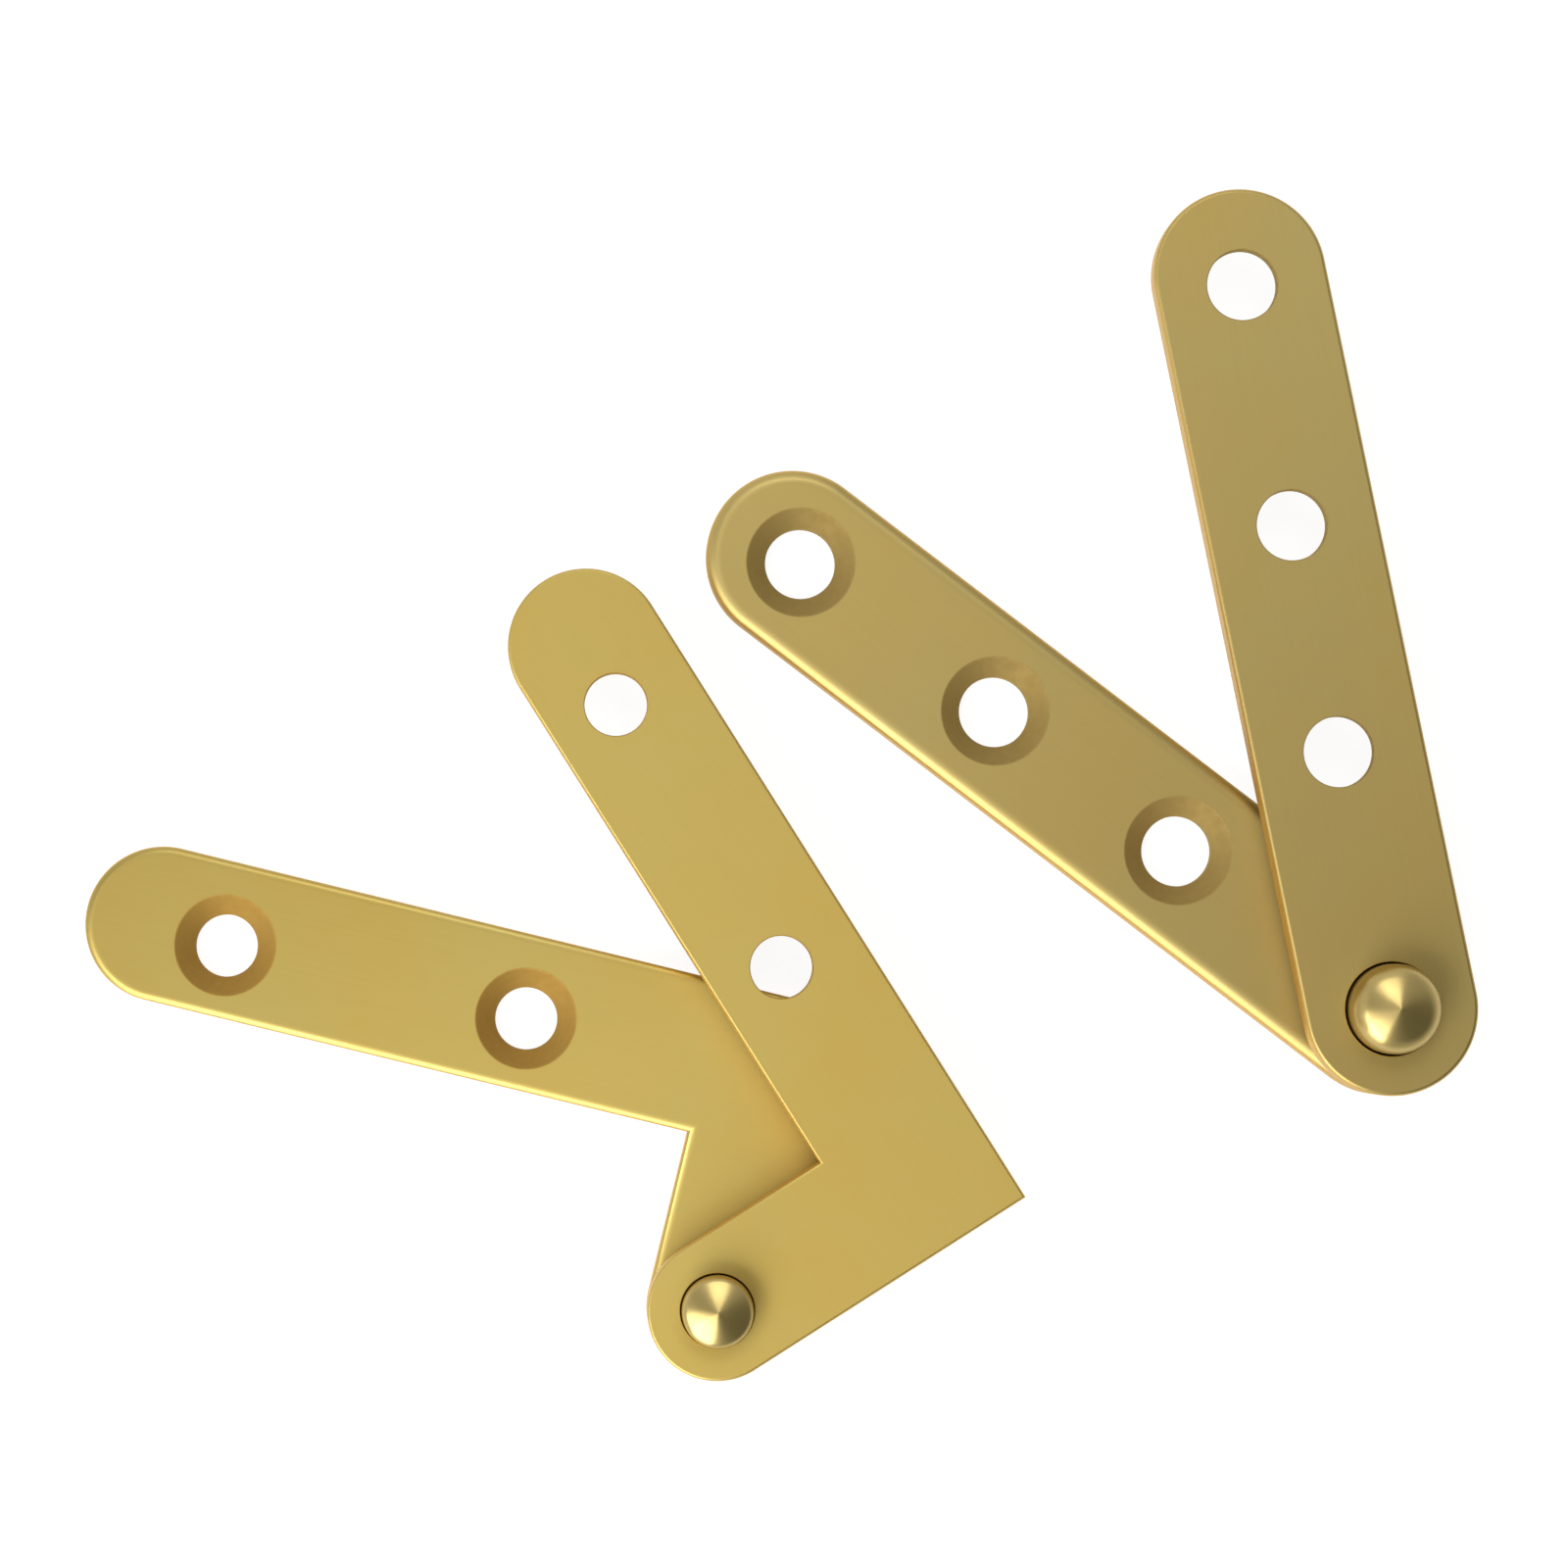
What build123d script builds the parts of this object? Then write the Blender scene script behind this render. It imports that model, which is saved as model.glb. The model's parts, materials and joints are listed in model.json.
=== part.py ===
"""A pair of brass pivot hinges, lying half open on a bench.

One hinge has two straight leaves with three screw holes each. The other is
cranked: its two L-shaped leaves carry the pin on a short foot, off to the side
of the screwed arm. In both hinges the leaves turn on a domed pin, one over the
other, with a thin washer between them. A leaf's screws go in from its
countersunk face, which is the face that meets the other leaf when the hinge is
closed, and the plain face lies against the wood.

Millimetres. +Z is up and the lower leaves lie on Z = 0. The origin is under the
middle of the whole pair's bounding box. A leaf is modelled with its pin axis on
the origin and its screwed arm along +X, and is then turned and moved to its pin.
"""
from build123d import *
import os

# Straight hinge, leaves
STRAIGHT_THICKNESS = 2.5
STRAIGHT_WIDTH = 12.0
STRAIGHT_REACH = 51.8           # pin axis to the centre of the round free end
STRAIGHT_NEAR_SCREW = 18.1      # pin axis to the first screw
STRAIGHT_FAR_SCREW_INSET = 0.7  # last screw, in from the centre of the round end
STRAIGHT_LAST_SPACING = 17.0    # last screw back to the middle one
STRAIGHT_SCREW_HOLE = 4.9
STRAIGHT_COUNTERSINK = 7.5

# Straight hinge, pin and washer
STRAIGHT_PIN = 6.2
STRAIGHT_PIN_STANDS = 1.8       # straight shank standing out of the upper leaf
STRAIGHT_DOME_HEIGHT = 2.0
STRAIGHT_WASHER = 10.0
STRAIGHT_WASHER_THICKNESS = 0.5

# Cranked hinge, leaves
CRANKED_THICKNESS = 2.5
ARM_WIDTH = 10.7
FOOT_WIDTH = 9.6
ARM_REACH = 48.1                # outer edge of the foot to the centre of the round end
CRANK = 22.0                    # outer edge of the arm to the pin axis
ARM_FAR_SCREW_INSET = 4.5       # outer screw, in from the centre of the round end
ARM_SCREW_SPACING = 21.3
ARM_SCREW_SHIFT = 0.4           # screws, off the arm's middle line towards the pin
CRANKED_SCREW_HOLE = 4.3
CRANKED_COUNTERSINK = 6.9

# Cranked hinge, pin and washer
CRANKED_PIN = 4.9
CRANKED_PIN_STANDS = 1.6
CRANKED_DOME_HEIGHT = 1.1
CRANKED_WASHER = 7.6
CRANKED_WASHER_THICKNESS = 0.5

# Shared by both hinges
EDGE_RADIUS = 0.7               # rounding that the press leaves round a countersunk face
COUNTERSINK_ANGLE = 90
PIN_CLEARANCE = 0.15            # upper leaf's bore over the pin, on the radius
WASHER_CLEARANCE = 0.1          # washer's bore over the pin, on the radius
RIVET_FLARE = 0.5               # pin's peened tail, wider than the shank on the radius

# How the pair lies, seen from above; angles are in degrees from +X
STRAIGHT_LOWER_ANGLE = 142.7
STRAIGHT_OPENING_ANGLE = 41.2
CRANKED_LOWER_ANGLE = 166.3
CRANKED_OPENING_ANGLE = 44.0
PIN_SPACING_X = 46.5            # the cranked hinge's pin is this far to the left
PIN_SPACING_Y = 20.6            # and this far towards the viewer

# A round piece made with this stands on its foot, centred on the pin's axis
UPRIGHT = (Align.CENTER, Align.CENTER, Align.MIN)


def straight_outline():
    """A strip with round ends, one about the pin and one at the free end."""
    middle = Pos(STRAIGHT_REACH / 2, 0)
    return middle * SlotCenterToCenter(STRAIGHT_REACH, STRAIGHT_WIDTH)


def straight_screws():
    """Centres of the screw holes along the straight leaf's middle line."""
    far = STRAIGHT_REACH - STRAIGHT_FAR_SCREW_INSET
    return [(x, 0) for x in (STRAIGHT_NEAR_SCREW, far - STRAIGHT_LAST_SPACING, far)]


def arm_middle():
    """Y of the cranked arm's middle line."""
    return ARM_WIDTH / 2 - CRANK


def cranked_outline():
    """An L with a sharp heel: a round-ended arm, and a foot that ends round the pin."""
    outer_x = -FOOT_WIDTH / 2
    inner_x = FOOT_WIDTH / 2
    outer_y = -CRANK
    inner_y = ARM_WIDTH - CRANK
    end_x = outer_x + ARM_REACH
    edges = [
        Line((outer_x, outer_y), (end_x, outer_y)),
        ThreePointArc((end_x, outer_y), (end_x + ARM_WIDTH / 2, arm_middle()), (end_x, inner_y)),
        Line((end_x, inner_y), (inner_x, inner_y)),
        Line((inner_x, inner_y), (inner_x, 0)),
        ThreePointArc((inner_x, 0), (0, FOOT_WIDTH / 2), (outer_x, 0)),
        Line((outer_x, 0), (outer_x, outer_y)),
    ]
    return make_face(edges)


def cranked_screws():
    """Centres of the screw holes along the cranked leaf's arm."""
    far = ARM_REACH - FOOT_WIDTH / 2 - ARM_FAR_SCREW_INSET
    y = arm_middle() + ARM_SCREW_SHIFT
    return [(far - ARM_SCREW_SPACING, y), (far, y)]


def plate(outline, thickness, countersunk_up):
    """The blank: flat stock with the outline of its countersunk face rolled over."""
    blank = extrude(outline, thickness)
    countersunk_face = blank.faces().sort_by(Axis.Z)[-1 if countersunk_up else 0]
    return fillet(countersunk_face.outer_wire().edges(), EDGE_RADIUS)


def screw_cutter(hole, countersink, thickness, countersunk_up):
    """Clearance hole with its cone, the cone opening on the countersunk face."""
    cutter = CounterSinkHole(
        hole / 2, countersink / 2, depth=thickness, counter_sink_angle=COUNTERSINK_ANGLE
    )
    if countersunk_up:
        return Pos(0, 0, thickness) * cutter
    return Rot(180, 0, 0) * cutter


def drill(blank, screws, cutter):
    """The blank with a screw hole at each place."""
    for x, y in screws:
        blank -= Pos(x, y) * cutter
    return blank


def straight_leaf(countersunk_up):
    """A straight leaf, drilled for its screws, with the pin's end still whole."""
    thickness = STRAIGHT_THICKNESS
    blank = plate(straight_outline(), thickness, countersunk_up)
    cutter = screw_cutter(STRAIGHT_SCREW_HOLE, STRAIGHT_COUNTERSINK, thickness, countersunk_up)
    return drill(blank, straight_screws(), cutter)


def cranked_leaf(countersunk_up):
    """A cranked leaf, drilled for its screws, with the pin's end still whole."""
    thickness = CRANKED_THICKNESS
    blank = plate(cranked_outline(), thickness, countersunk_up)
    cutter = screw_cutter(CRANKED_SCREW_HOLE, CRANKED_COUNTERSINK, thickness, countersunk_up)
    return drill(blank, cranked_screws(), cutter)


def riveted_shank(pin, length):
    """The pin up to its dome: a peened tail, flush with Z = 0, and a straight shank."""
    tail = Cone(pin / 2 + RIVET_FLARE, pin / 2, RIVET_FLARE, align=UPRIGHT)
    return tail + Cylinder(pin / 2, length, align=UPRIGHT)


def domed_pin(pin, shoulder, dome_height):
    """The whole pin: riveted shank with a domed end from the shoulder's height up."""
    radius = pin / 2
    sphere = (radius**2 + dome_height**2) / (2 * dome_height)
    ball = Pos(0, 0, shoulder + dome_height - sphere) * Sphere(sphere)
    above = Pos(0, 0, shoulder) * Cylinder(radius, dome_height, align=UPRIGHT)
    return riveted_shank(pin, shoulder) + (above & ball)


def bored(leaf, thickness, diameter):
    """An upper leaf with the bore that turns on the pin."""
    return leaf - Cylinder(diameter / 2, thickness, align=UPRIGHT)


def washer(pin, diameter, thickness):
    """A flat ring that spaces the leaves."""
    ring = Circle(diameter / 2) - Circle(pin / 2 + WASHER_CLEARANCE)
    return extrude(ring, thickness)


def placed(part, pin_axis, direction, height):
    """A part turned to its direction about its pin axis and set at its height."""
    x, y = pin_axis
    return Pos(x, y, height) * Rot(0, 0, direction) * part


def straight_hinge(pin_axis):
    """The straight hinge's pieces about its pin axis, by name."""
    on_leaf = STRAIGHT_THICKNESS
    on_washer = on_leaf + STRAIGHT_WASHER_THICKNESS
    shoulder = on_washer + STRAIGHT_THICKNESS + STRAIGHT_PIN_STANDS
    lower = straight_leaf(countersunk_up=True) - riveted_shank(STRAIGHT_PIN, STRAIGHT_THICKNESS)
    bore = STRAIGHT_PIN + 2 * PIN_CLEARANCE
    upper = bored(straight_leaf(countersunk_up=False), STRAIGHT_THICKNESS, bore)
    pin = domed_pin(STRAIGHT_PIN, shoulder, STRAIGHT_DOME_HEIGHT)
    ring = washer(STRAIGHT_PIN, STRAIGHT_WASHER, STRAIGHT_WASHER_THICKNESS)
    upper_direction = STRAIGHT_LOWER_ANGLE - STRAIGHT_OPENING_ANGLE
    return {
        "straight_lower_leaf": placed(lower, pin_axis, STRAIGHT_LOWER_ANGLE, 0),
        "straight_washer": placed(ring, pin_axis, 0, on_leaf),
        "straight_upper_leaf": placed(upper, pin_axis, upper_direction, on_washer),
        "straight_pivot_pin": placed(pin, pin_axis, 0, 0),
    }


def cranked_hinge(pin_axis):
    """The cranked hinge's pieces about its pin axis, by name."""
    on_leaf = CRANKED_THICKNESS
    on_washer = on_leaf + CRANKED_WASHER_THICKNESS
    shoulder = on_washer + CRANKED_THICKNESS + CRANKED_PIN_STANDS
    lower = cranked_leaf(countersunk_up=True) - riveted_shank(CRANKED_PIN, CRANKED_THICKNESS)
    bore = CRANKED_PIN + 2 * PIN_CLEARANCE
    upper = bored(cranked_leaf(countersunk_up=False), CRANKED_THICKNESS, bore)
    pin = domed_pin(CRANKED_PIN, shoulder, CRANKED_DOME_HEIGHT)
    ring = washer(CRANKED_PIN, CRANKED_WASHER, CRANKED_WASHER_THICKNESS)
    upper_direction = CRANKED_LOWER_ANGLE - CRANKED_OPENING_ANGLE
    return {
        "cranked_lower_leaf": placed(lower, pin_axis, CRANKED_LOWER_ANGLE, 0),
        "cranked_washer": placed(ring, pin_axis, 0, on_leaf),
        "cranked_upper_leaf": placed(upper, pin_axis, upper_direction, on_washer),
        "cranked_pivot_pin": placed(pin, pin_axis, 0, 0),
    }


def pair():
    """Both hinges, with the origin under the middle of their bounding box."""
    cranked_pin_axis = (-PIN_SPACING_X, -PIN_SPACING_Y)
    pieces = straight_hinge((0, 0)) | cranked_hinge(cranked_pin_axis)
    middle = Compound(list(pieces.values())).bounding_box().center()
    print("straight pin axis at", round(-middle.X, 4), round(-middle.Y, 4))
    x, y = cranked_pin_axis
    print("cranked pin axis at", round(x - middle.X, 4), round(y - middle.Y, 4))
    return {name: Pos(-middle.X, -middle.Y) * piece for name, piece in pieces.items()}


os.makedirs("parts", exist_ok=True)
for name, piece in pair().items():
    export_step(piece, f"parts/{name}.step")
    print(name, "volume", round(piece.volume, 2), "size", piece.bounding_box().size)
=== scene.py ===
# %% [markdown]
# # A pair of pivot hinges
#
# Two brass pivot hinges lie half open on a white table. One has straight leaves with three screw
# holes each, the other has L-shaped leaves with two. In both, a flat leaf turns on the pin of the
# leaf under it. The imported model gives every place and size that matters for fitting, so the first
# step is to load it. The leaves and pins that show are then modelled again in Blender, where their
# rolled edges, countersinks and turned ends can be as smooth as the real ones.

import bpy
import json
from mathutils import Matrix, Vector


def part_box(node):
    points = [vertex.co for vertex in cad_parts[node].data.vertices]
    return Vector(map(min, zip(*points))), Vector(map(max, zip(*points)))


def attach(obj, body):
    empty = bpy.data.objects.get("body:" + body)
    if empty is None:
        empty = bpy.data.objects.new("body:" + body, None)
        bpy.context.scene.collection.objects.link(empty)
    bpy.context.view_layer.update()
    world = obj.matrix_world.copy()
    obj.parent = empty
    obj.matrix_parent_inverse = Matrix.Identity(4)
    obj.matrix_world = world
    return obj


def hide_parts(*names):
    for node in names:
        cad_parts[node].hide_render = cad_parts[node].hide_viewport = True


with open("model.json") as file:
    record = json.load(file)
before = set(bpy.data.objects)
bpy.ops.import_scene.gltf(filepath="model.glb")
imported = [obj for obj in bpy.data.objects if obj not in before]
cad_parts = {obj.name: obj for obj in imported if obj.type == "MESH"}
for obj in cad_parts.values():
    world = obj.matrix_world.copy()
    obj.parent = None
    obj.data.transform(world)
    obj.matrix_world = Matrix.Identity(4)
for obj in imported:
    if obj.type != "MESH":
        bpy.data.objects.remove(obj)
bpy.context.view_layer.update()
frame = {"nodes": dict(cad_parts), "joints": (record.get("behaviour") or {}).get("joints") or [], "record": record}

# %% [markdown]
# ## Units and colours
#
# The scene is in metres, while hardware is drawn in millimetres, so sizes below are written times
# MM. Colours are written as the hex values that a screen shows. Blender's sockets want linear
# light, and one function turns the first into the second.

# %% Units and colours
import json
import math

import bmesh
import bpy
from mathutils import Matrix, Vector

MM = 0.001


def linear(hex_colour):
    """An sRGB hex colour as linear red, green, blue and alpha."""
    values = [int(hex_colour[i:i + 2], 16) / 255 for i in (1, 3, 5)]
    return [v / 12.92 if v <= 0.04045 else ((v + 0.055) / 1.055) ** 2.4 for v in values] + [1.0]


print("white in linear light", linear("#FFFFFF"))

# %% [markdown]
# ## Choosing what an operator works on
#
# Operators work on what is selected, and loading the frame leaves its nodes selected. Each piece
# therefore starts from a clean selection. In edit mode, the edges and faces to work on are chosen
# in code by their place, which is what a modeller does by eye.

# %% Choosing what an operator works on
NEAR = 0.004 * MM       # two places closer than this are the same


def pick(*pieces):
    """Select only these pieces, in object mode, and make the last of them active."""
    if bpy.context.object and bpy.context.object.mode != "OBJECT":
        bpy.ops.object.mode_set(mode="OBJECT")
    bpy.ops.object.select_all(action="DESELECT")
    for piece in pieces:
        piece.select_set(True)
        bpy.context.view_layer.objects.active = piece


def edit(piece, kind):
    """Open one piece in edit mode, to choose its VERT, EDGE or FACE elements."""
    pick(piece)
    bpy.ops.object.mode_set(mode="EDIT")
    bpy.ops.mesh.select_mode(type=kind)
    bpy.ops.mesh.select_all(action="DESELECT")


def choose(piece, kind, wanted):
    """Select the elements whose corners all pass the test."""
    mesh = bmesh.from_edit_mesh(piece.data)
    if kind == "VERT":
        chosen = [v for v in mesh.verts if wanted(v.co)]
    else:
        elements = mesh.edges if kind == "EDGE" else mesh.faces
        chosen = [e for e in elements if all(wanted(v.co) for v in e.verts)]
    for element in chosen:
        element.select_set(True)
    bmesh.update_edit_mesh(piece.data)


def level(z):
    """A test for places at one height."""
    return lambda at: abs(at.z - z) < NEAR


# %% [markdown]
# A few steps come back all through the modelling. Each piece keeps its place in its mesh, with the
# object itself on the origin, so that the joints can turn it about their own axes.

# %% Steps that come back
ROUNDING_STEPS = 8      # facets across a small bevel
ROUND_PROFILE = 0.5     # a bevel's profile that is part of a circle


def put(piece, place, rotation=(0, 0, 0)):
    """Move and turn a piece, and keep that in its mesh."""
    pick(piece)
    piece.location = place
    piece.rotation_euler = rotation
    bpy.ops.object.transform_apply(location=True, rotation=True, scale=True)


def extrude(x, y, z):
    """Extrude what is selected by this much."""
    bpy.ops.mesh.extrude_region_move(TRANSFORM_OT_translate={"value": (x, y, z)})


def bevel(width):
    """Round off the selected edges."""
    bpy.ops.mesh.bevel(
        offset=width, segments=ROUNDING_STEPS, profile=ROUND_PROFILE, affect="EDGES",
    )


def face_outwards():
    """Turn all the faces of the open mesh outwards."""
    bpy.ops.mesh.select_all(action="SELECT")
    bpy.ops.mesh.normals_make_consistent(inside=False)


def apply_modifier(piece, kind, **settings):
    """Give a piece a modifier with these settings, and apply it."""
    pick(piece)
    modifier = piece.modifiers.new(kind.lower(), kind)
    for name, value in settings.items():
        setattr(modifier, name, value)
    bpy.ops.object.modifier_apply(modifier=modifier.name)


# %% [markdown]
# ## Where the pieces go
#
# The joints give the two pin axes, and the screw holes give the direction of each leaf. The rest
# are the hinges' own sizes. A leaf is made lying along +X with its pin axis on the origin, the
# easiest place to work, and is turned and moved to its pin at the end.

# %% Sizes and places
SIZES = {
    "straight": {
        "width": 12.0 * MM,
        "reach": 51.8 * MM,                     # pin axis to the middle of the round free end
        "countersink": 7.5 * MM,
        "edge_roll": (1.1 * MM, 0.55 * MM),     # width and depth, round a countersunk face
        "edge_break": 0.3 * MM,                 # the tumbled corner of a crisp edge
        "clearance": 0.15 * MM,                 # upper leaf's bore over the pin, on the radius
        "pin": 6.2 * MM,
        "tip_round": 1.52 * MM,                 # between the pin's side and its pointed end
    },
    "cranked": {
        "width": 10.7 * MM,                     # of the arm
        "foot": 9.6 * MM,
        "reach": 48.1 * MM,                     # outer edge of the foot to the round free end
        "crank": 22.0 * MM,                     # outer edge of the arm to the pin axis
        "countersink": 6.9 * MM,
        "edge_roll": (0.65 * MM, 0.32 * MM),
        "edge_break": 0.2 * MM,
        "clearance": 0.1 * MM,
        "pin": 4.9 * MM,
        "tip_round": 0.56 * MM,
    },
}
RIVET_FLARE = 0.5 * MM              # a pin's hammered tail, wider than the pin on the radius
RIM_BREAK = 0.07 * MM               # the softened rim of a hole

HINGES = tuple(SIZES)
LEAVES = ("straight_lower", "straight_upper", "cranked_lower", "cranked_upper")

pin_axis = {joint["name"].split("_")[0]: Vector(joint["pos_m"]) for joint in frame["joints"]}
mounts = {mount["name"]: mount for mount in frame["record"]["mounts"]}


def hinge_of(leaf):
    """The hinge that a leaf belongs to."""
    return leaf.split("_")[0]


def screw_places(leaf):
    """The screw holes of a leaf, in the frame that all the pieces share."""
    return [Vector(m["pos_m"]) for name, m in mounts.items() if name.startswith(leaf + "_screw_")]


def leaf_facts(leaf):
    """One leaf's direction, its screw holes in its own frame, its height and its holes' size."""
    places = screw_places(leaf)
    along = places[-1] - places[0]
    turn = math.atan2(along.y, along.x)
    to_leaf = Matrix.Rotation(-turn, 4, "Z")
    origin = pin_axis[hinge_of(leaf)]
    low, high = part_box(leaf + "_leaf")
    last_screw = mounts[leaf + "_screw_far"]
    return {
        "turn": turn,
        "origin": Vector((origin.x, origin.y, low.z)),
        "screws": [(to_leaf @ (place - origin)).to_2d() for place in places],
        "thickness": high.z - low.z,
        "hole": 2 * last_screw["dims"]["r_mm"] * MM,
        "sink_up": last_screw["axis"][2] > 0,
    }


facts = {leaf: leaf_facts(leaf) for leaf in LEAVES}
for leaf in LEAVES:
    print(leaf, "turned", round(math.degrees(facts[leaf]["turn"]), 2), "degrees")

# %% [markdown]
# ## The camera
#
# The hinges were photographed from almost straight above, with the lens over a point to the lower
# left of them. The tilt is small, but it decides which walls of the leaves show and how far the
# pins seem to lean, so it is set before any looks.

# %% Camera
CAMERA_PLACE = Vector((-13.40, -13.69, 341.46)) * MM
CAMERA_TILT = (math.radians(2.291), math.radians(-2.291), 0)
PHOTO_PIXELS = 1600
FOCAL_PIXELS = 5000     # the lens in pixels of the photograph, which is how it was measured
SENSOR = 36             # Blender's own, in mm
NEAREST_SEEN = 0.01

camera_data = bpy.data.cameras.new("camera")
camera_data.sensor_width = SENSOR
camera_data.lens = FOCAL_PIXELS / PHOTO_PIXELS * SENSOR
camera_data.clip_start = NEAREST_SEEN
camera = bpy.data.objects.new("camera", camera_data)
camera.location = CAMERA_PLACE
camera.rotation_euler = CAMERA_TILT
bpy.context.scene.collection.objects.link(camera)
bpy.context.scene.camera = camera
print("lens", round(camera_data.lens, 2), "mm")

# %% [markdown]
# ## The straight leaf's blank
#
# The real leaf is punched from brass strip with round ends. A circle is a good start: with its
# corners half a step off the axes, it has one flat side exactly at the top and one at the bottom.
# Moving one half of the corners away stretches those two sides into the strip's straight edges,
# with no seam where they meet the round ends.

# %% Straight blank
ROUND = 128             # corners of a full circle, a multiple of four
HALF_STEP = math.pi / ROUND


def add_circle(width, at, fill):
    """A circle of this width across its flat sides, with no corner on its axes."""
    pick()
    bpy.ops.mesh.primitive_circle_add(
        vertices=ROUND, radius=width / 2 / math.cos(HALF_STEP), fill_type=fill,
    )
    put(bpy.context.object, (*at, 0), (0, 0, HALF_STEP))
    return bpy.context.object


def straight_face(size):
    """The outline of a straight leaf as one flat face."""
    piece = add_circle(size["width"], (0, 0), "NGON")
    edit(piece, "VERT")
    choose(piece, "VERT", lambda at: at.x > 0)
    bpy.ops.transform.translate(value=(size["reach"], 0, 0))
    return piece


# %% [markdown]
# ## The cranked leaf's blank
#
# This leaf is an L with a sharp heel. Its foot ends round the pin and its arm ends round the outer
# screw. Half a circle is kept at each end. The ends of the foot's half are pulled out to the
# corners of the L, edges join them to the arm's half, and the closed line is filled.

# %% Cranked blank
def half_circle(width, at, unwanted):
    """The half of a circle that is left when the corners that pass the test are taken away."""
    piece = add_circle(width, at, "NOTHING")
    edit(piece, "VERT")
    choose(piece, "VERT", unwanted)
    bpy.ops.mesh.delete(type="VERT")
    return piece


def cranked_face(size):
    """The outline of a cranked leaf as one flat face."""
    foot_edge = size["foot"] / 2
    arm_low = -size["crank"]
    arm_high = size["width"] - size["crank"]
    arm_end = size["reach"] - foot_edge
    foot = half_circle(size["foot"], (0, 0), lambda at: at.y < 0)
    for x, corner_y in ((-foot_edge, arm_low), (foot_edge, arm_high)):
        bpy.ops.mesh.select_all(action="DESELECT")
        mesh = bmesh.from_edit_mesh(foot.data)
        end = min(mesh.verts, key=lambda v: (v.co - Vector((x, 0, 0))).length)
        drop = corner_y - end.co.y
        end.select_set(True)
        bmesh.update_edit_mesh(foot.data)
        extrude(0, drop, 0)
    arm_centre = (arm_end, (arm_low + arm_high) / 2)
    arm = half_circle(size["width"], arm_centre, lambda at: at.x < arm_end)
    pick(arm, foot)
    bpy.ops.object.join()
    for y in (arm_low, arm_high):
        edit(foot, "VERT")
        choose(foot, "VERT", lambda at: abs(at.y - y) < NEAR)
        bpy.ops.mesh.edge_face_add()
    bpy.ops.mesh.select_all(action="SELECT")
    bpy.ops.mesh.edge_face_add()
    return foot


# %% [markdown]
# ## Thickness and edges
#
# A press leaves two kinds of edge. The face that it strikes comes out with a soft roll all round,
# twice as wide as it is deep, and the face against the die stays crisp, with only a tumbled corner.
# The flat face is extruded and then inset in small steps that rise along a quarter of an ellipse,
# which a bevel can't follow, because a bevel is as deep as it is wide. The other outline gets a
# small bevel. A leaf that lies with its countersunk face down is the same piece mirrored top to
# bottom.

# %% From outline to plate
ROLL_STEPS = 18


def thicken(piece, thickness, size, sink_up):
    """Extrude a flat face upwards and shape the edges of its two faces."""
    width, depth = size["edge_roll"]
    edit(piece, "FACE")
    bpy.ops.mesh.select_all(action="SELECT")
    extrude(0, 0, thickness - depth)
    face_outwards()
    bpy.ops.mesh.select_all(action="DESELECT")
    choose(piece, "FACE", level(thickness - depth))
    turns = [math.pi / 2 * step / ROLL_STEPS for step in range(ROLL_STEPS + 1)]
    for turn, next_turn in zip(turns, turns[1:]):
        bpy.ops.mesh.inset(
            thickness=width * (math.cos(turn) - math.cos(next_turn)),
            depth=depth * (math.sin(next_turn) - math.sin(turn)),
        )
    edit(piece, "EDGE")
    choose(piece, "EDGE", level(0))
    bevel(size["edge_break"])
    if not sink_up:
        middle = Vector((0, 0, thickness / 2))
        bpy.ops.mesh.select_all(action="SELECT")
        bpy.ops.transform.resize(value=(1, 1, -1), center_override=middle)
        face_outwards()


# %% [markdown]
# ## Drilling
#
# A screw hole is drilled and countersunk with one tool. The tool is modelled as it is on the bench,
# a straight drill that widens at 45 degrees, and the holes are cut with the Boolean modifier, since
# that is what a drill does. The rims are then bevelled a little, because a countersink never leaves
# a knife edge.

# %% Drills
OVERSHOOT = 1.0 * MM    # how far a drill runs past a face
HOLE_CORNERS = 96


def drill(at, z, hole, rim, thickness, sink_up):
    """A countersinking drill standing in one hole, its cone opening at the face at height z."""
    depth = (rim - hole) / 2
    shank = thickness + OVERSHOOT - depth
    pick()
    bpy.ops.mesh.primitive_cylinder_add(vertices=HOLE_CORNERS, radius=hole / 2, depth=shank)
    tool = bpy.context.object
    put(tool, (0, 0, -depth - shank / 2))
    if depth > 0:
        wider = (rim / 2 + OVERSHOOT) / (hole / 2)
        top = Vector((0, 0, OVERSHOOT))
        edit(tool, "FACE")
        choose(tool, "FACE", level(-depth))
        extrude(0, 0, depth + OVERSHOOT)
        bpy.ops.transform.resize(value=(wider, wider, 1), center_override=top)
    put(tool, (*at, z), (0 if sink_up else math.pi, 0, 0))
    return tool


def cut(piece, tools):
    """Cut a piece with all its drills at once, and put the drills away."""
    first, *others = tools
    for tool in others:
        pick(tool, first)
        bpy.ops.object.join()
    apply_modifier(piece, "BOOLEAN", operation="DIFFERENCE", solver="EXACT", object=first)
    bpy.data.objects.remove(first)


def soften_rim(piece, at, radius, z):
    """Bevel the round edge of this radius about a hole's axis."""
    def on_rim(place):
        distance = math.hypot(place.x - at[0], place.y - at[1])
        return abs(distance - radius) < NEAR and abs(place.z - z) < NEAR

    edit(piece, "EDGE")
    choose(piece, "EDGE", on_rim)
    bevel(RIM_BREAK)


# %% [markdown]
# ## Smooth shading on flat metal
#
# Round edges want smooth shading, but smooth shading alone would bend the light on the flat faces
# next to them. Edges over 35 degrees stay sharp, and the Weighted Normal modifier lets the large
# flat faces keep their true direction, so that the roll runs into a face that reflects as one
# plane.

# %% Finish a mesh
SHARP = math.radians(35)
LARGE_FACES_RULE = 100      # the modifier's highest weight


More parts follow.
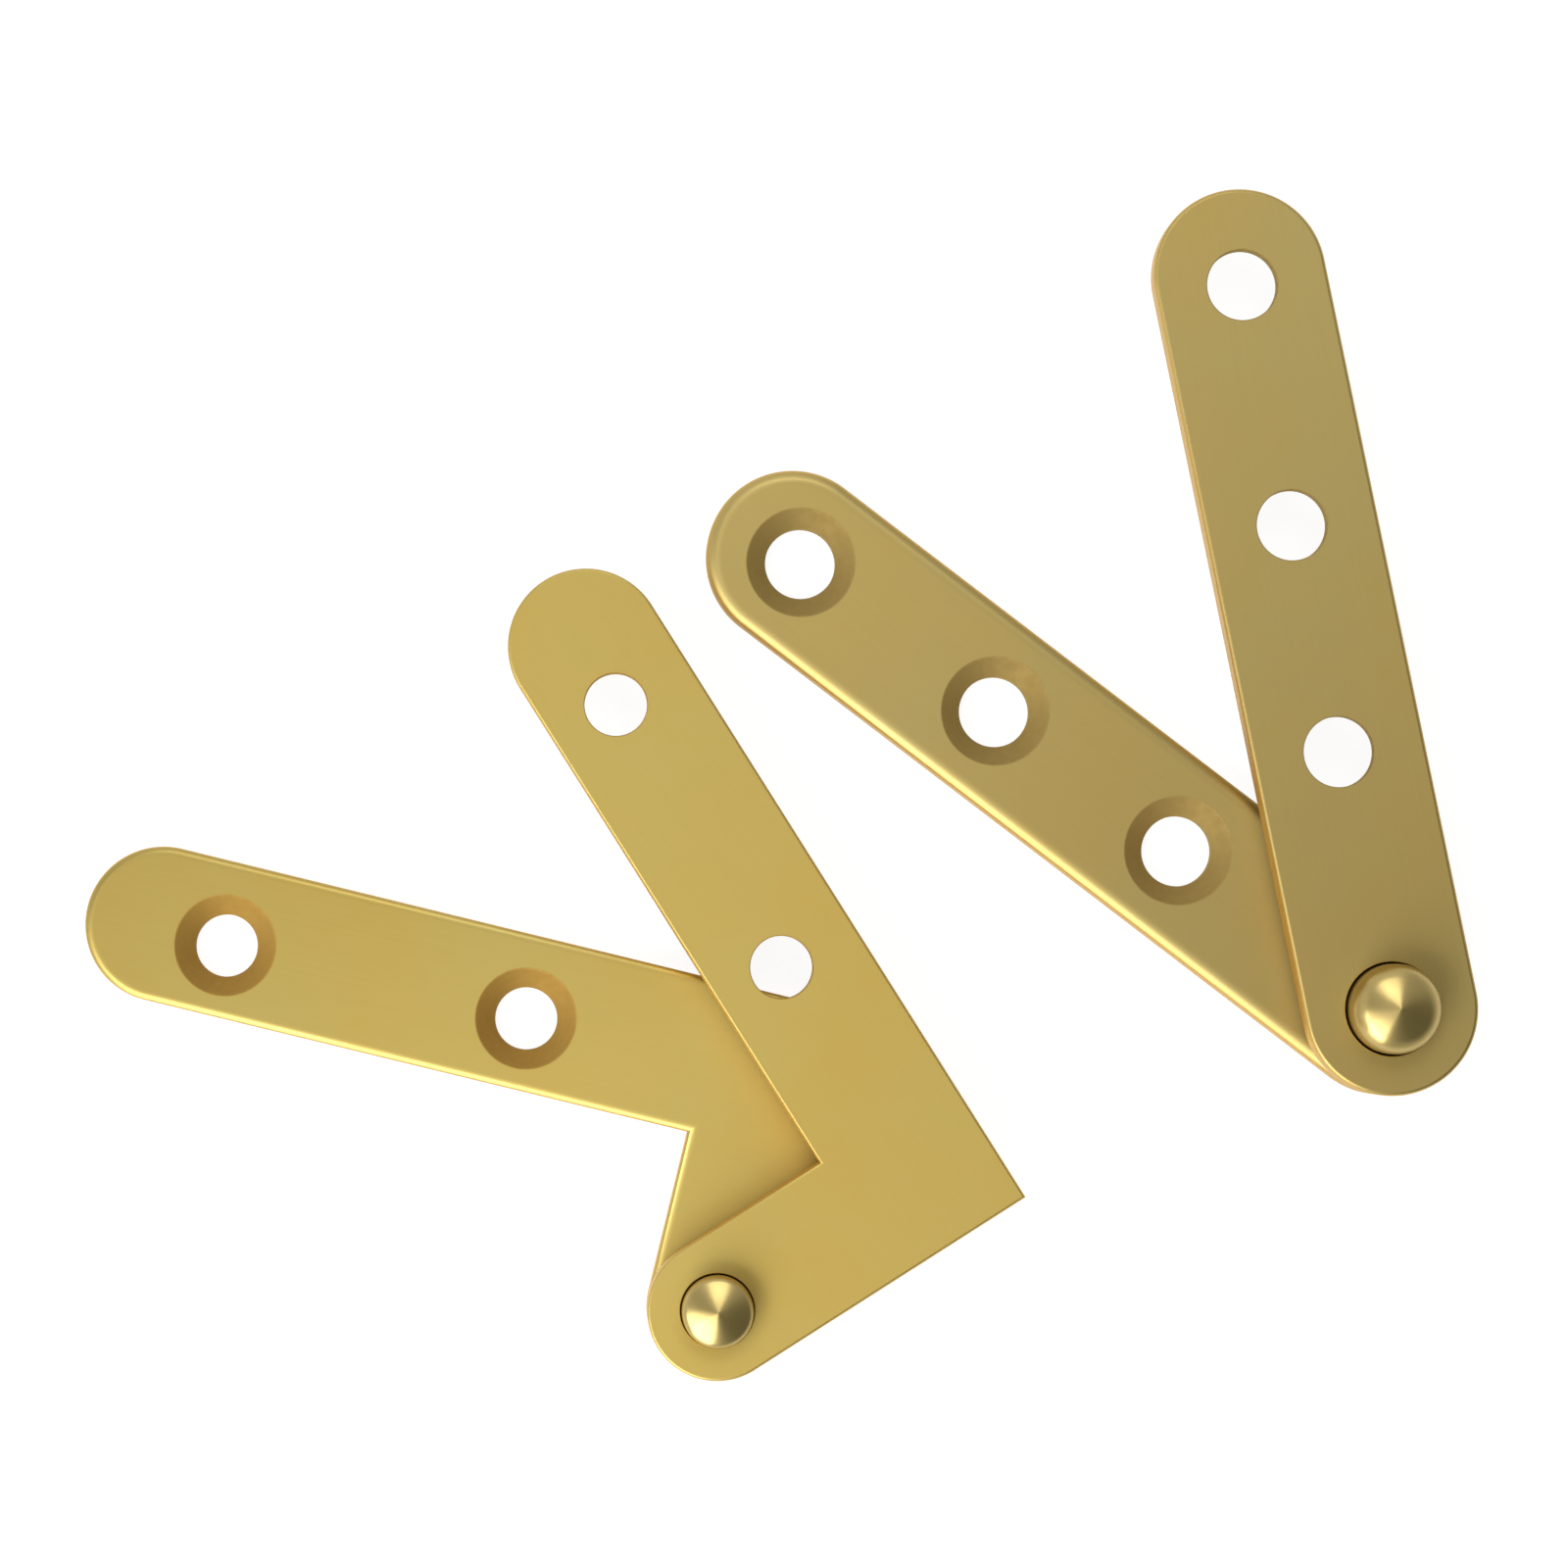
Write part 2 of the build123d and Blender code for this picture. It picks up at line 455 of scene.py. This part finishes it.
def settle(piece, name, turn, place):
    """Turn and move a finished piece to its place, and shade it."""
    piece.name = name
    piece.data.name = name
    put(piece, place, (0, 0, turn))
    bpy.ops.object.shade_smooth_by_angle(angle=SHARP)
    apply_modifier(piece, "WEIGHTED_NORMAL", keep_sharp=True, weight=LARGE_FACES_RULE)
    print(name, "has", len(piece.data.polygons), "faces")


# %% [markdown]
# ## The four leaves
#
# All four go through the same steps as on the bench: blank, edges, holes, rims. A lower leaf has a
# seat for the pin's riveted tail, which opens on its plain underside. An upper leaf has a running
# bore, a little wider than the pin.

# %% Make the leaves
def make_leaf(leaf):
    """One leaf, from blank to finished piece."""
    hinge, position = leaf.split("_")
    size, fact = SIZES[hinge], facts[leaf]
    thickness, sink_up = fact["thickness"], fact["sink_up"]
    piece = straight_face(size) if hinge == "straight" else cranked_face(size)
    thicken(piece, thickness, size, sink_up)
    struck, plain = (thickness, 0) if sink_up else (0, thickness)
    tools = [
        drill(at, struck, fact["hole"], size["countersink"], thickness, sink_up)
        for at in fact["screws"]
    ]
    if position == "lower":
        bore = size["pin"]
        plain_rim = size["pin"] + 2 * RIVET_FLARE
    else:
        bore = size["pin"] + 2 * size["clearance"]
        plain_rim = bore
    tools.append(drill((0, 0), plain, bore, plain_rim, thickness, not sink_up))
    cut(piece, tools)
    for at in fact["screws"]:
        soften_rim(piece, at, size["countersink"] / 2, struck)
        soften_rim(piece, at, fact["hole"] / 2, plain)
    soften_rim(piece, (0, 0), plain_rim / 2, plain)
    settle(piece, leaf + "_leaf_brass", fact["turn"], fact["origin"])
    return piece


leaves = {leaf: make_leaf(leaf) for leaf in LEAVES}

# %% [markdown]
# ## The pins
#
# A pin is turned from rod. Its end is a shallow cone with a well rounded corner, and its other end
# is hammered out into the leaf's seat and filed flush. Turned work is drawn as one side of its
# section. Here each ring of that section is extruded from the one under it and scaled about the
# axis, and the last ring closes on the tip. A sphere would be quicker, but its highlights are round
# spots, and a cone draws them out into the fans that the real pins show.

# %% Make the pins
TIP_SLOPES = (8, 22)    # of the pointed end, in degrees, at the tip and where the rounding starts
ARC_STEPS = 20
CONE_STEPS = 24


def pin_section(size, top):
    """Radius and height of each ring of a pin, from the tail up."""
    radius, corner = size["pin"] / 2, size["tip_round"]
    middle, edge = (math.radians(slope) for slope in TIP_SLOPES)
    cone = radius - corner * (1 - math.sin(edge))
    tip = [(0, top)]
    for step in range(1, CONE_STEPS + 1):
        ring, z = tip[-1]
        slope = middle + (edge - middle) * (step - 0.5) / CONE_STEPS
        tip.append((ring + cone / CONE_STEPS, z - math.tan(slope) * cone / CONE_STEPS))
    arc_foot = tip[-1][1] - corner * math.cos(edge)
    section = [(radius + RIVET_FLARE, 0), (radius, RIVET_FLARE), (radius, arc_foot)]
    for step in range(1, ARC_STEPS):
        tilt = (math.pi / 2 - edge) * step / ARC_STEPS
        ring = radius - corner * (1 - math.cos(tilt))
        section.append((ring, arc_foot + corner * math.sin(tilt)))
    return section + tip[:0:-1]


def make_pin(hinge):
    """A pin with a pointed end, standing on its riveted tail."""
    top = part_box(hinge + "_pivot_pin")[1].z
    section = pin_section(SIZES[hinge], top)
    pick()
    bpy.ops.mesh.primitive_circle_add(vertices=ROUND, radius=section[0][0], fill_type="NGON")
    pin = bpy.context.object
    edit(pin, "FACE")
    bpy.ops.mesh.select_all(action="SELECT")
    for (radius, z), (next_radius, next_z) in zip(section, section[1:]):
        extrude(0, 0, next_z - z)
        ratio = next_radius / radius
        centre = Vector((0, 0, next_z))
        bpy.ops.transform.resize(value=(ratio, ratio, 1), center_override=centre)
    extrude(0, 0, top - section[-1][1])
    bpy.ops.mesh.merge(type="CENTER")
    face_outwards()
    axis = pin_axis[hinge]
    settle(pin, hinge + "_pin_turned", 0, (axis.x, axis.y, 0))
    return pin


pins = {hinge: make_pin(hinge) for hinge in HINGES}

# %% [markdown]
# ## Materials
#
# One small function adds a node with its settings and links, and four short ones use it for the
# nodes that come back most. Everything else about a material is in its own function, named for what
# the metal is and how its surface was made.

# %% Adding a node
NOISE_RUN = (0.3, 0.7)      # nearly all the values of a noise lie between these


def add_node(tree, kind, settings=None, inputs=None):
    """Add a node, set its properties, and set or link its inputs."""
    node = tree.nodes.new(kind)
    for name, value in (settings or {}).items():
        setattr(node, name, value)
    for name, value in (inputs or {}).items():
        if isinstance(value, bpy.types.NodeSocket):
            tree.links.new(value, node.inputs[name])
        else:
            node.inputs[name].default_value = value
    return node


def noise(tree, place, size, detail=2.0, roughness=0.5):
    """Noise whose patches are about this large."""
    return add_node(
        tree, "ShaderNodeTexNoise", {},
        {"Vector": place, "Scale": 1 / size, "Detail": detail, "Roughness": roughness},
    ).outputs["Fac"]


def remap(tree, value, start, end, interpolation="LINEAR"):
    """Carry a value that runs over the first pair of numbers over to the second pair."""
    return add_node(
        tree, "ShaderNodeMapRange", {"interpolation_type": interpolation},
        {"Value": value, "From Min": start[0], "From Max": start[1],
         "To Min": end[0], "To Max": end[1]},
    ).outputs["Result"]


def mix(tree, share, first, second, blend="MIX"):
    """The first colour with this share of the second over it."""
    return add_node(
        tree, "ShaderNodeMix", {"data_type": "RGBA", "blend_type": blend},
        {0: share, 6: first, 7: second},
    ).outputs[2]


def calculate(tree, operation, *values):
    """The result of one sum."""
    inputs = dict(enumerate(values))
    return add_node(tree, "ShaderNodeMath", {"operation": operation}, inputs).outputs[0]


# %% [markdown]
# A metal is the same shader each time, with metallic at 1. Its other settings keep their defaults
# unless a finish calls for more. A relief is only a bump, because the marks are thousandths of a
# millimetre deep.

# %% Starting and finishing a metal
MARK_DEPTH = 0.002 * MM     # of brush marks and turning rings


def new_material(name):
    """A material and its empty tree."""
    material = bpy.data.materials.new(name)
    material.use_nodes = True
    material.node_tree.nodes.clear()
    return material, material.node_tree


def relief(tree, height, strength):
    """Surface normals bent by a pattern of fine marks."""
    return add_node(
        tree, "ShaderNodeBump", {},
        {"Height": height, "Strength": strength, "Distance": MARK_DEPTH},
    ).outputs["Normal"]


def finish_metal(tree, colour, roughness, others):
    """Metal of this colour and roughness on the material's output."""
    inputs = {"Base Color": colour, "Metallic": 1.0, "Roughness": roughness, **others}
    shader = add_node(tree, "ShaderNodeBsdfPrincipled", {}, inputs)
    add_node(tree, "ShaderNodeOutputMaterial", {}, {"Surface": shader.outputs["BSDF"]})


# %% [markdown]
# ### Satin-brushed brass
#
# Brass is about two parts copper to one of zinc, a warm yellow metal. The leaves are brushed along
# their length with a fine belt, tumbled and lightly lacquered. That leaves faces so even that they
# show hardly any reflection, only a slow change of tone from end to end, so the roughness is 0.67
# there, with the metal's own colour. In the tumbler the edges rub on each other, so they end up
# smoother, 0.42. Their colour is lighter and a little redder: partly bare metal, and partly a
# painted highlight for the light that the walls and edges catch. The direction of the surface tells
# the two apart: a face is flat, and an edge turns away. The belt's grain is noise stretched along the
# leaf, 0.15 mm wide and 9 mm long, which is coarser than the real one, because that would be finer
# than a pixel. A broad noise gives the faint cloudiness of lacquer. Last, a painted shade darkens
# the colour a little, most at one distance from the pin and not at all at another, standing in for
# the way the light falls off across the leaves.

# %% Satin brass
GRAIN_WIDTH = 0.15 * MM
GRAIN_LENGTH = 9 * MM
GRAIN_SHINE = 0.01          # how far the grain moves the roughness either way
GRAIN_RELIEF = 0.08
CLOUD_SIZE = 14 * MM
CLOUD_RUN = (0.35, 0.65)    # noise values between which one tint gives way to the other
SATIN = 0.67                # roughness of the faces
BURNISHED = 0.42            # and of the edges
EDGE_TINT_SPAN = (0.5, 0.95)       # upright part of the normal where the edge colour, bare metal and painted highlight, is full and where it ends
WORN = (0.97, 0.998)        # and where the edge is smoothest and where the face begins
# lighter and redder: bare edge metal, and also a painted highlight for the light that the walls catch
EDGE_GOLD_AND_HIGHLIGHT = "#DFB868"
PAINTED_SHADE_TINT = "#E8E8E8"            # painted shade: the share of the colour left where it is darkest


def satin_brass(name, colour, cloud_colour, turn, pin, shade_span):
    """Brass brushed in one direction; shade_span: how far from the pin the painted shade is darkest and gone."""
    material, tree = new_material(name)
    surface = add_node(tree, "ShaderNodeTexCoord").outputs
    place = surface["Object"]
    along = add_node(
        tree, "ShaderNodeMapping", {"vector_type": "TEXTURE"},
        {"Vector": place, "Rotation": (0, 0, turn),
         "Scale": (GRAIN_LENGTH, GRAIN_WIDTH, GRAIN_WIDTH)},
    ).outputs["Vector"]
    grain = noise(tree, along, 1)
    clouds = noise(tree, place, CLOUD_SIZE, detail=3.0, roughness=0.55)
    cloudy = remap(tree, clouds, CLOUD_RUN, (0.0, 1.0))
    tint = mix(tree, cloudy, linear(colour), linear(cloud_colour))

    # painted shade: the colour darkens with distance from the pin, in place of the light's fall-off
    from_pin = add_node(
        tree, "ShaderNodeVectorMath", {"operation": "DISTANCE"}, {0: place, 1: pin},
    ).outputs["Value"]
    painted_shade = remap(tree, from_pin, shade_span, (1.0, 0.0))
    tint = mix(tree, painted_shade, tint, linear(PAINTED_SHADE_TINT), "MULTIPLY")

    # steep faces get the edge colour: partly bare metal, partly painted highlight
    facing = add_node(tree, "ShaderNodeSeparateXYZ", {}, {"Vector": surface["Normal"]})
    flat = calculate(tree, "ABSOLUTE", facing.outputs["Z"])
    bare_and_highlight = remap(tree, flat, EDGE_TINT_SPAN, (1.0, 0.0))
    tint = mix(tree, bare_and_highlight, tint, linear(EDGE_GOLD_AND_HIGHLIGHT))
    worn = remap(tree, flat, WORN, (BURNISHED, SATIN))
    brushed = remap(tree, grain, NOISE_RUN, (-GRAIN_SHINE, GRAIN_SHINE))
    roughness = calculate(tree, "ADD", worn, brushed)
    finish_metal(tree, tint, roughness, {"Normal": relief(tree, grain, GRAIN_RELIEF)})
    return material


# %% [markdown]
# ### Drilled brass
#
# The countersinks are cut after the leaves are brushed, so they are bare metal with the drill's own
# finish, matt. Their colour is a little darker and browner than the leaves': partly the bare metal,
# and partly painted shade for the shade inside the cones. A drill chatters as it cuts, so the
# roughness, about 0.78, wanders by a few hundredths from place to place. The rings that it leaves are
# left out, being far below a pixel.

# %% Drilled brass
CHATTER_SIZE = 0.6 * MM
DRILLED = 0.78              # roughness
CHATTER = 0.04              # how far it wanders either way


def drilled_brass(name, colour):
    """Brass as a countersinking drill leaves it, in a colour that also carries painted shade."""
    material, tree = new_material(name)
    place = add_node(tree, "ShaderNodeTexCoord").outputs["Object"]
    chatter = noise(tree, place, CHATTER_SIZE)
    roughness = remap(tree, chatter, NOISE_RUN, (DRILLED - CHATTER, DRILLED + CHATTER))
    finish_metal(tree, linear(colour), roughness, {})
    return material


# %% [markdown]
# ### Turned brass
#
# The pins' ends are turned and polished on a lathe, so they are the brightest metal here. What is
# left is a set of very fine rings about the axis, which draw each highlight out towards the tip, as
# on the lid of a pan. Anisotropy with a radial tangent, turned by a quarter, gives that stretch, and
# faint rings 0.12 mm apart show the tool marks close up.

# %% Turned brass
RING_SPACING = 0.12 * MM
WAVE_REPEAT = math.pi / 10  # a wave of scale 1 repeats after this distance
RING_RELIEF = 0.15
TURNED = 0.28               # roughness
STRETCH = 0.6               # how strongly the rings draw out a highlight
ACROSS_RINGS = 0.25         # a quarter turn, from round the axis to outwards


def turned_brass(name, colour, axis):
    """Brass turned about an axis that stands at this place."""
    material, tree = new_material(name)
    place = add_node(tree, "ShaderNodeTexCoord").outputs["Object"]
    centred = add_node(
        tree, "ShaderNodeMapping", {}, {"Vector": place, "Location": (-axis.x, -axis.y, 0)},
    ).outputs["Vector"]
    rings = add_node(
        tree, "ShaderNodeTexWave",
        {"wave_type": "RINGS", "rings_direction": "Z", "wave_profile": "SIN"},
        {"Vector": centred, "Scale": WAVE_REPEAT / RING_SPACING},
    ).outputs["Fac"]
    tangent = add_node(
        tree, "ShaderNodeTangent", {"direction_type": "RADIAL", "axis": "Z"},
    ).outputs["Tangent"]
    finish_metal(tree, linear(colour), TURNED, {
        "Anisotropic": STRETCH, "Anisotropic Rotation": ACROSS_RINGS, "Tangent": tangent,
        "Normal": relief(tree, rings, RING_RELIEF),
    })
    return material


# %% [markdown]
# ### Painting the pieces
#
# The cranked hinge is painted a warmer, brighter gold, and the straight one a little duller and
# greyer, as painted shade for the dimmer light that falls on the straight hinge. Each leaf also has
# its own painted shade. On the straight leaves it is darkest at the pivot and fades towards the
# free end. On the upper cranked leaf it is only a ring at the bore, and the lower one is darker at
# its free end.

# %% Paint the pieces
# the straight pair is duller and greyer: painted shade for the dimmer light on that hinge
LEAF_GOLDS = {              # the metal, and its cloudier patches
    "straight": ("#C6B373", "#C9B16D"),
    "cranked": ("#CDB86C", "#CFB565"),
}
# darker and browner than the leaves: bare drilled metal, and painted shade in the cones
DRILLED_GOLD_AND_SHADE = {"straight": "#BAA366", "cranked": "#C4A358"}
PIN_GOLD = "#CAB373"
PAINTED_SHADE_SPANS = {                   # distance from the pin where the painted shade is darkest, and where it ends
    "straight_lower": (4 * MM, 58 * MM),
    "straight_upper": (4 * MM, 58 * MM),
    "cranked_lower": (58 * MM, 18 * MM),
    "cranked_upper": (2.5 * MM, 4.5 * MM),
}
BODY_OF_LEAF = {
    "straight_lower": "held_leaves",
    "straight_upper": "straight_swing",
    "cranked_lower": "cranked_swing",
    "cranked_upper": "held_leaves",
}
BODY_OF_PIN = {"straight": "held_leaves", "cranked": "cranked_swing"}


def paint(piece, material):
    """Give a piece this one material."""
    piece.data.materials.clear()
    piece.data.materials.append(material)


def paint_holes(piece, leaf, material):
    """Give the walls and cones of a leaf's screw holes their own material."""
    reach = SIZES[hinge_of(leaf)]["countersink"] / 2 + 2 * RIM_BREAK
    piece.data.materials.append(material)
    edit(piece, "FACE")
    for place in screw_places(leaf):
        choose(piece, "FACE", lambda at: math.dist(at.xy, place.xy) < reach)
    piece.active_material_index = len(piece.data.materials) - 1
    bpy.ops.object.material_slot_assign()
    pick()


drilled = {
    hinge: drilled_brass(f"drilled brass, {hinge} leaves", DRILLED_GOLD_AND_SHADE[hinge])
    for hinge in HINGES
}
for leaf, piece in leaves.items():
    hinge = hinge_of(leaf)
    name = f"satin-brushed brass, {leaf.replace('_', ' ')}"
    turn = facts[leaf]["turn"]
    paint(piece, satin_brass(name, *LEAF_GOLDS[hinge], turn, pin_axis[hinge], PAINTED_SHADE_SPANS[leaf]))
    paint_holes(piece, leaf, drilled[hinge])
    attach(piece, BODY_OF_LEAF[leaf])
    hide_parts(leaf + "_leaf")

for hinge, piece in pins.items():
    paint(piece, turned_brass(f"turned brass, {hinge} pin", PIN_GOLD, pin_axis[hinge]))
    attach(piece, BODY_OF_PIN[hinge])
    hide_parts(hinge + "_pivot_pin")

for hinge in HINGES:
    washer = frame["nodes"][hinge + "_washer"]
    # the washers take the straight leaves' colour and their painted shade
    washer.material_slots[0].material = satin_brass(
        f"rolled brass sheet, {hinge} washer", *LEAF_GOLDS["straight"], 0, pin_axis[hinge],
        PAINTED_SHADE_SPANS["straight_lower"],
    )

for piece in (*leaves.values(), *pins.values()):
    print(piece.name, "is", [slot.material.name for slot in piece.material_slots])

# %% [markdown]
# ## The table
#
# The hinges lie on white. To the camera the table glows up to a full white, through the Light Path
# node, and the light that falls on it still draws a faint shadow under each leaf. To the metal it
# is a pale table with only a little glow, as under a lamp.

# %% Table
FLOOR_SIZE = 8.0
FLOOR_DROP = 0.02 * MM      # under the leaves, so that the two don't share a plane
TABLE_WHITE = "#E4E4E4"
TABLE_SEEN = "#808080"      # what the camera sees of it beside the glow
SEEN_GLOW = 0.9             # added for the camera
REFLECTED_GLOW = 0.15       # added for the metal

pick()
bpy.ops.mesh.primitive_plane_add(size=FLOOR_SIZE)
floor = bpy.context.object
floor.name = "table"
put(floor, (0, 0, -FLOOR_DROP))
material, tree = new_material("white table")
paths = add_node(tree, "ShaderNodeLightPath").outputs
reflected = calculate(tree, "MULTIPLY", paths["Is Glossy Ray"], REFLECTED_GLOW)
strength = calculate(tree, "MULTIPLY_ADD", paths["Is Camera Ray"], SEEN_GLOW, reflected)
glow = add_node(
    tree, "ShaderNodeEmission", {}, {"Color": linear("#FFFFFF"), "Strength": strength},
).outputs["Emission"]
colour = mix(tree, paths["Is Camera Ray"], linear(TABLE_WHITE), linear(TABLE_SEEN))
matt = add_node(tree, "ShaderNodeBsdfDiffuse", {}, {"Color": colour}).outputs["BSDF"]
both = add_node(tree, "ShaderNodeAddShader", {}, {0: glow, 1: matt}).outputs["Shader"]
add_node(tree, "ShaderNodeOutputMaterial", {}, {"Surface": both})
paint(floor, material)
print("table", FLOOR_SIZE, "m across")

# %% [markdown]
# ## Light
#
# A flat satin plate seen from above shows what hangs over it, so a large dim soft box overhead
# evens out the plates. The key light, low in the front left, is the strongest. It draws the bright
# line along the lower edges, makes the larger fan on the pins and leaves the shade behind them. The
# upper light makes the smaller fan and the line along the far edges, and the left light gives the
# ridge on the round end of the straight leaf and lights the walls that face left. Each box is given
# the brightness that the eye would see on it, and the function turns that into watts.

# %% Lights
def way_to(azimuth, elevation):
    """The direction of a place in the studio, in degrees from +X and from the table."""
    turn, tilt = math.radians(azimuth), math.radians(elevation)
    across = math.cos(tilt)
    return Vector((math.cos(turn) * across, math.sin(turn) * across, math.sin(tilt)))


def soft_light(name, place, width, height, radiance):
    """A soft box at this place that faces the middle of the table, as bright as this to the eye."""
    data = bpy.data.lights.new(name, "AREA")
    data.shape = "RECTANGLE"
    data.size = width
    data.size_y = height
    data.energy = radiance * math.pi * width * height
    light = bpy.data.objects.new(name, data)
    light.location = place
    light.rotation_euler = place.to_track_quat("Z", "Y").to_euler()
    light.visible_camera = False
    bpy.context.scene.collection.objects.link(light)
    print(name, "light", round(place.length, 3), "m away,", round(data.energy, 3), "W")


SOFT_BOXES = (
    # name, place, width and height in metres, brightness
    ("overhead", Vector((-0.006, 0, 0.38)), 0.2, 0.2, 0.45),
    ("key", 0.35 * way_to(243, 37), 0.19, 0.29, 4.3),
    ("upper", 0.4 * way_to(86, 62), 0.2, 0.15, 2.7),
    ("left", 0.4 * way_to(210, 48), 0.16, 0.14, 3.8),
)
for box in SOFT_BOXES:
    soft_light(*box)

# %% [markdown]
# ## Surroundings
#
# Metal shows its surroundings, so they belong to its finish. The room is an even light grey, a
# little lighter towards the horizon. A darker part on the lower right gives the pins their shaded
# side, and a smaller one on the upper left keeps their two fans apart. Two pale parts, low on the
# left and at the top, brighten the rolled edges there. Each part fades out softly.

# %% Surroundings
ZENITH = "#B0B0B0"
HORIZON = "#BCBCB8"
ZENITH_HEIGHT = 0.6         # of a direction's Z, from which the room is all zenith
PARTS_OF_ROOM = (
    # azimuth, elevation, where it fades out and where it is full in degrees, colour
    (332, 50, 45, 20, "#686862"),
    (178, 18, 45, 22, "#DEDEDC"),
    (105, 18, 45, 22, "#DEDEDC"),
    (166, 64, 18, 8, "#A8A8A4"),
)

world = bpy.data.worlds.new("studio")
world.use_nodes = True
tree = world.node_tree
tree.nodes.clear()
way = add_node(tree, "ShaderNodeTexCoord").outputs["Generated"]
height = add_node(tree, "ShaderNodeSeparateXYZ", {}, {"Vector": way}).outputs["Z"]
up = remap(tree, height, (0.0, ZENITH_HEIGHT), (0.0, 1.0), "SMOOTHSTEP")
tone = mix(tree, up, linear(HORIZON), linear(ZENITH))
for azimuth, elevation, outer, inner, colour in PARTS_OF_ROOM:
    nearness = add_node(
        tree, "ShaderNodeVectorMath", {"operation": "DOT_PRODUCT"},
        {0: way, 1: way_to(azimuth, elevation)},
    ).outputs["Value"]
    fade = (math.cos(math.radians(outer)), math.cos(math.radians(inner)))
    share = remap(tree, nearness, fade, (0.0, 1.0), "SMOOTHSTEP")
    tone = mix(tree, share, tone, linear(colour))
glow = add_node(tree, "ShaderNodeBackground", {}, {"Color": tone, "Strength": 1.0})
add_node(tree, "ShaderNodeOutputWorld", {}, {"Surface": glow.outputs["Background"]})
bpy.context.scene.world = world
bpy.context.scene.view_settings.view_transform = "Standard"
print("room with", len(PARTS_OF_ROOM), "parts of their own tone")
